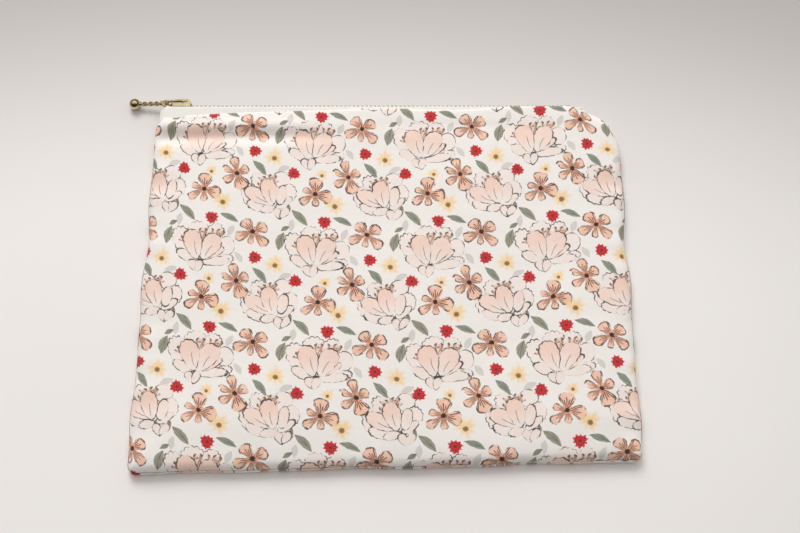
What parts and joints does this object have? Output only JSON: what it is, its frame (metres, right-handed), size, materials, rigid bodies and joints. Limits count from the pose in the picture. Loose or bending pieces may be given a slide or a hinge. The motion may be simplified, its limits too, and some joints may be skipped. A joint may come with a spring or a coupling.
{
  "type": "zippered pouch",
  "caption": "Flat rectangular fabric pouch, lined and padded, with a metal zip along its top edge and a rope-and-ball pull at the closed end.",
  "frame": {"origin": "middle of the back face, on the plane the pouch rests on", "axes": "+X towards the end of the zip that stays shut, +Y from the bottom seam to the zip, +Z out of the front face"},
  "size_m": [0.2663, 0.2017, 0.01],
  "materials": {
    "printed_cotton": "plain-weave cotton with a floral print",
    "fleece": "needled fusible fleece",
    "lining_cotton": "plain-weave cotton",
    "zip_tape": "woven polyester tape",
    "sewing_thread": "spun polyester thread",
    "gold_metal": "pale gold plating, polished"
  },
  "bodies": {
    "pouch": {"back_panel": "printed_cotton", "back_fleece": "fleece", "back_lining": "lining_cotton", "back_tape": "zip_tape", "back_cord": "zip_tape", "back_teeth": "gold_metal", "back_top_stop": "gold_metal", "bottom_stop": "gold_metal", "left_seam_thread": "sewing_thread", "right_seam_thread": "sewing_thread", "bottom_seam_thread": "sewing_thread", "lining_seam_thread": "sewing_thread", "back_zip_stitch": "sewing_thread"},
    "front": {"front_panel": "printed_cotton", "front_fleece": "fleece", "front_lining": "lining_cotton", "front_tape": "zip_tape", "front_cord": "zip_tape", "front_teeth": "gold_metal", "front_top_stop": "gold_metal", "front_zip_stitch": "sewing_thread"},
    "slider": {"slider_body": "gold_metal"},
    "link": {"pull_link": "gold_metal"},
    "bar": {"bar_eye": "gold_metal", "rope_strand_a": "gold_metal", "rope_strand_b": "gold_metal", "pull_ball": "gold_metal"}
  },
  "joints": [
    {"name": "slider_travel", "type": "slide", "parent": "pouch", "child": "slider", "axis": [1, 0, 0], "range_m": [0, 0.203], "deforming": ["front_teeth", "back_teeth", "front_cord", "front_tape"]},
    {"name": "mouth_open", "type": "hinge", "parent": "pouch", "child": "front", "pos_m": [0, -0.0964, 0.005], "axis": [1, 0, 0], "range_deg": [0, 8]},
    {"name": "pull_swing", "type": "hinge", "parent": "slider", "child": "link", "pos_m": [-0.1115, 0.1005, 0.005], "axis": [0, 0, -1], "range_deg": [0, 120]},
    {"name": "bar_swing", "type": "hinge", "parent": "link", "child": "bar", "pos_m": [-0.121, 0.1005, 0.005], "axis": [0, 0, 1], "range_deg": [-80, 0]}
  ],
  "couplings": [
    {"joint": "mouth_open", "follows": "slider_travel", "rad_per_m": 0.68}
  ]
}
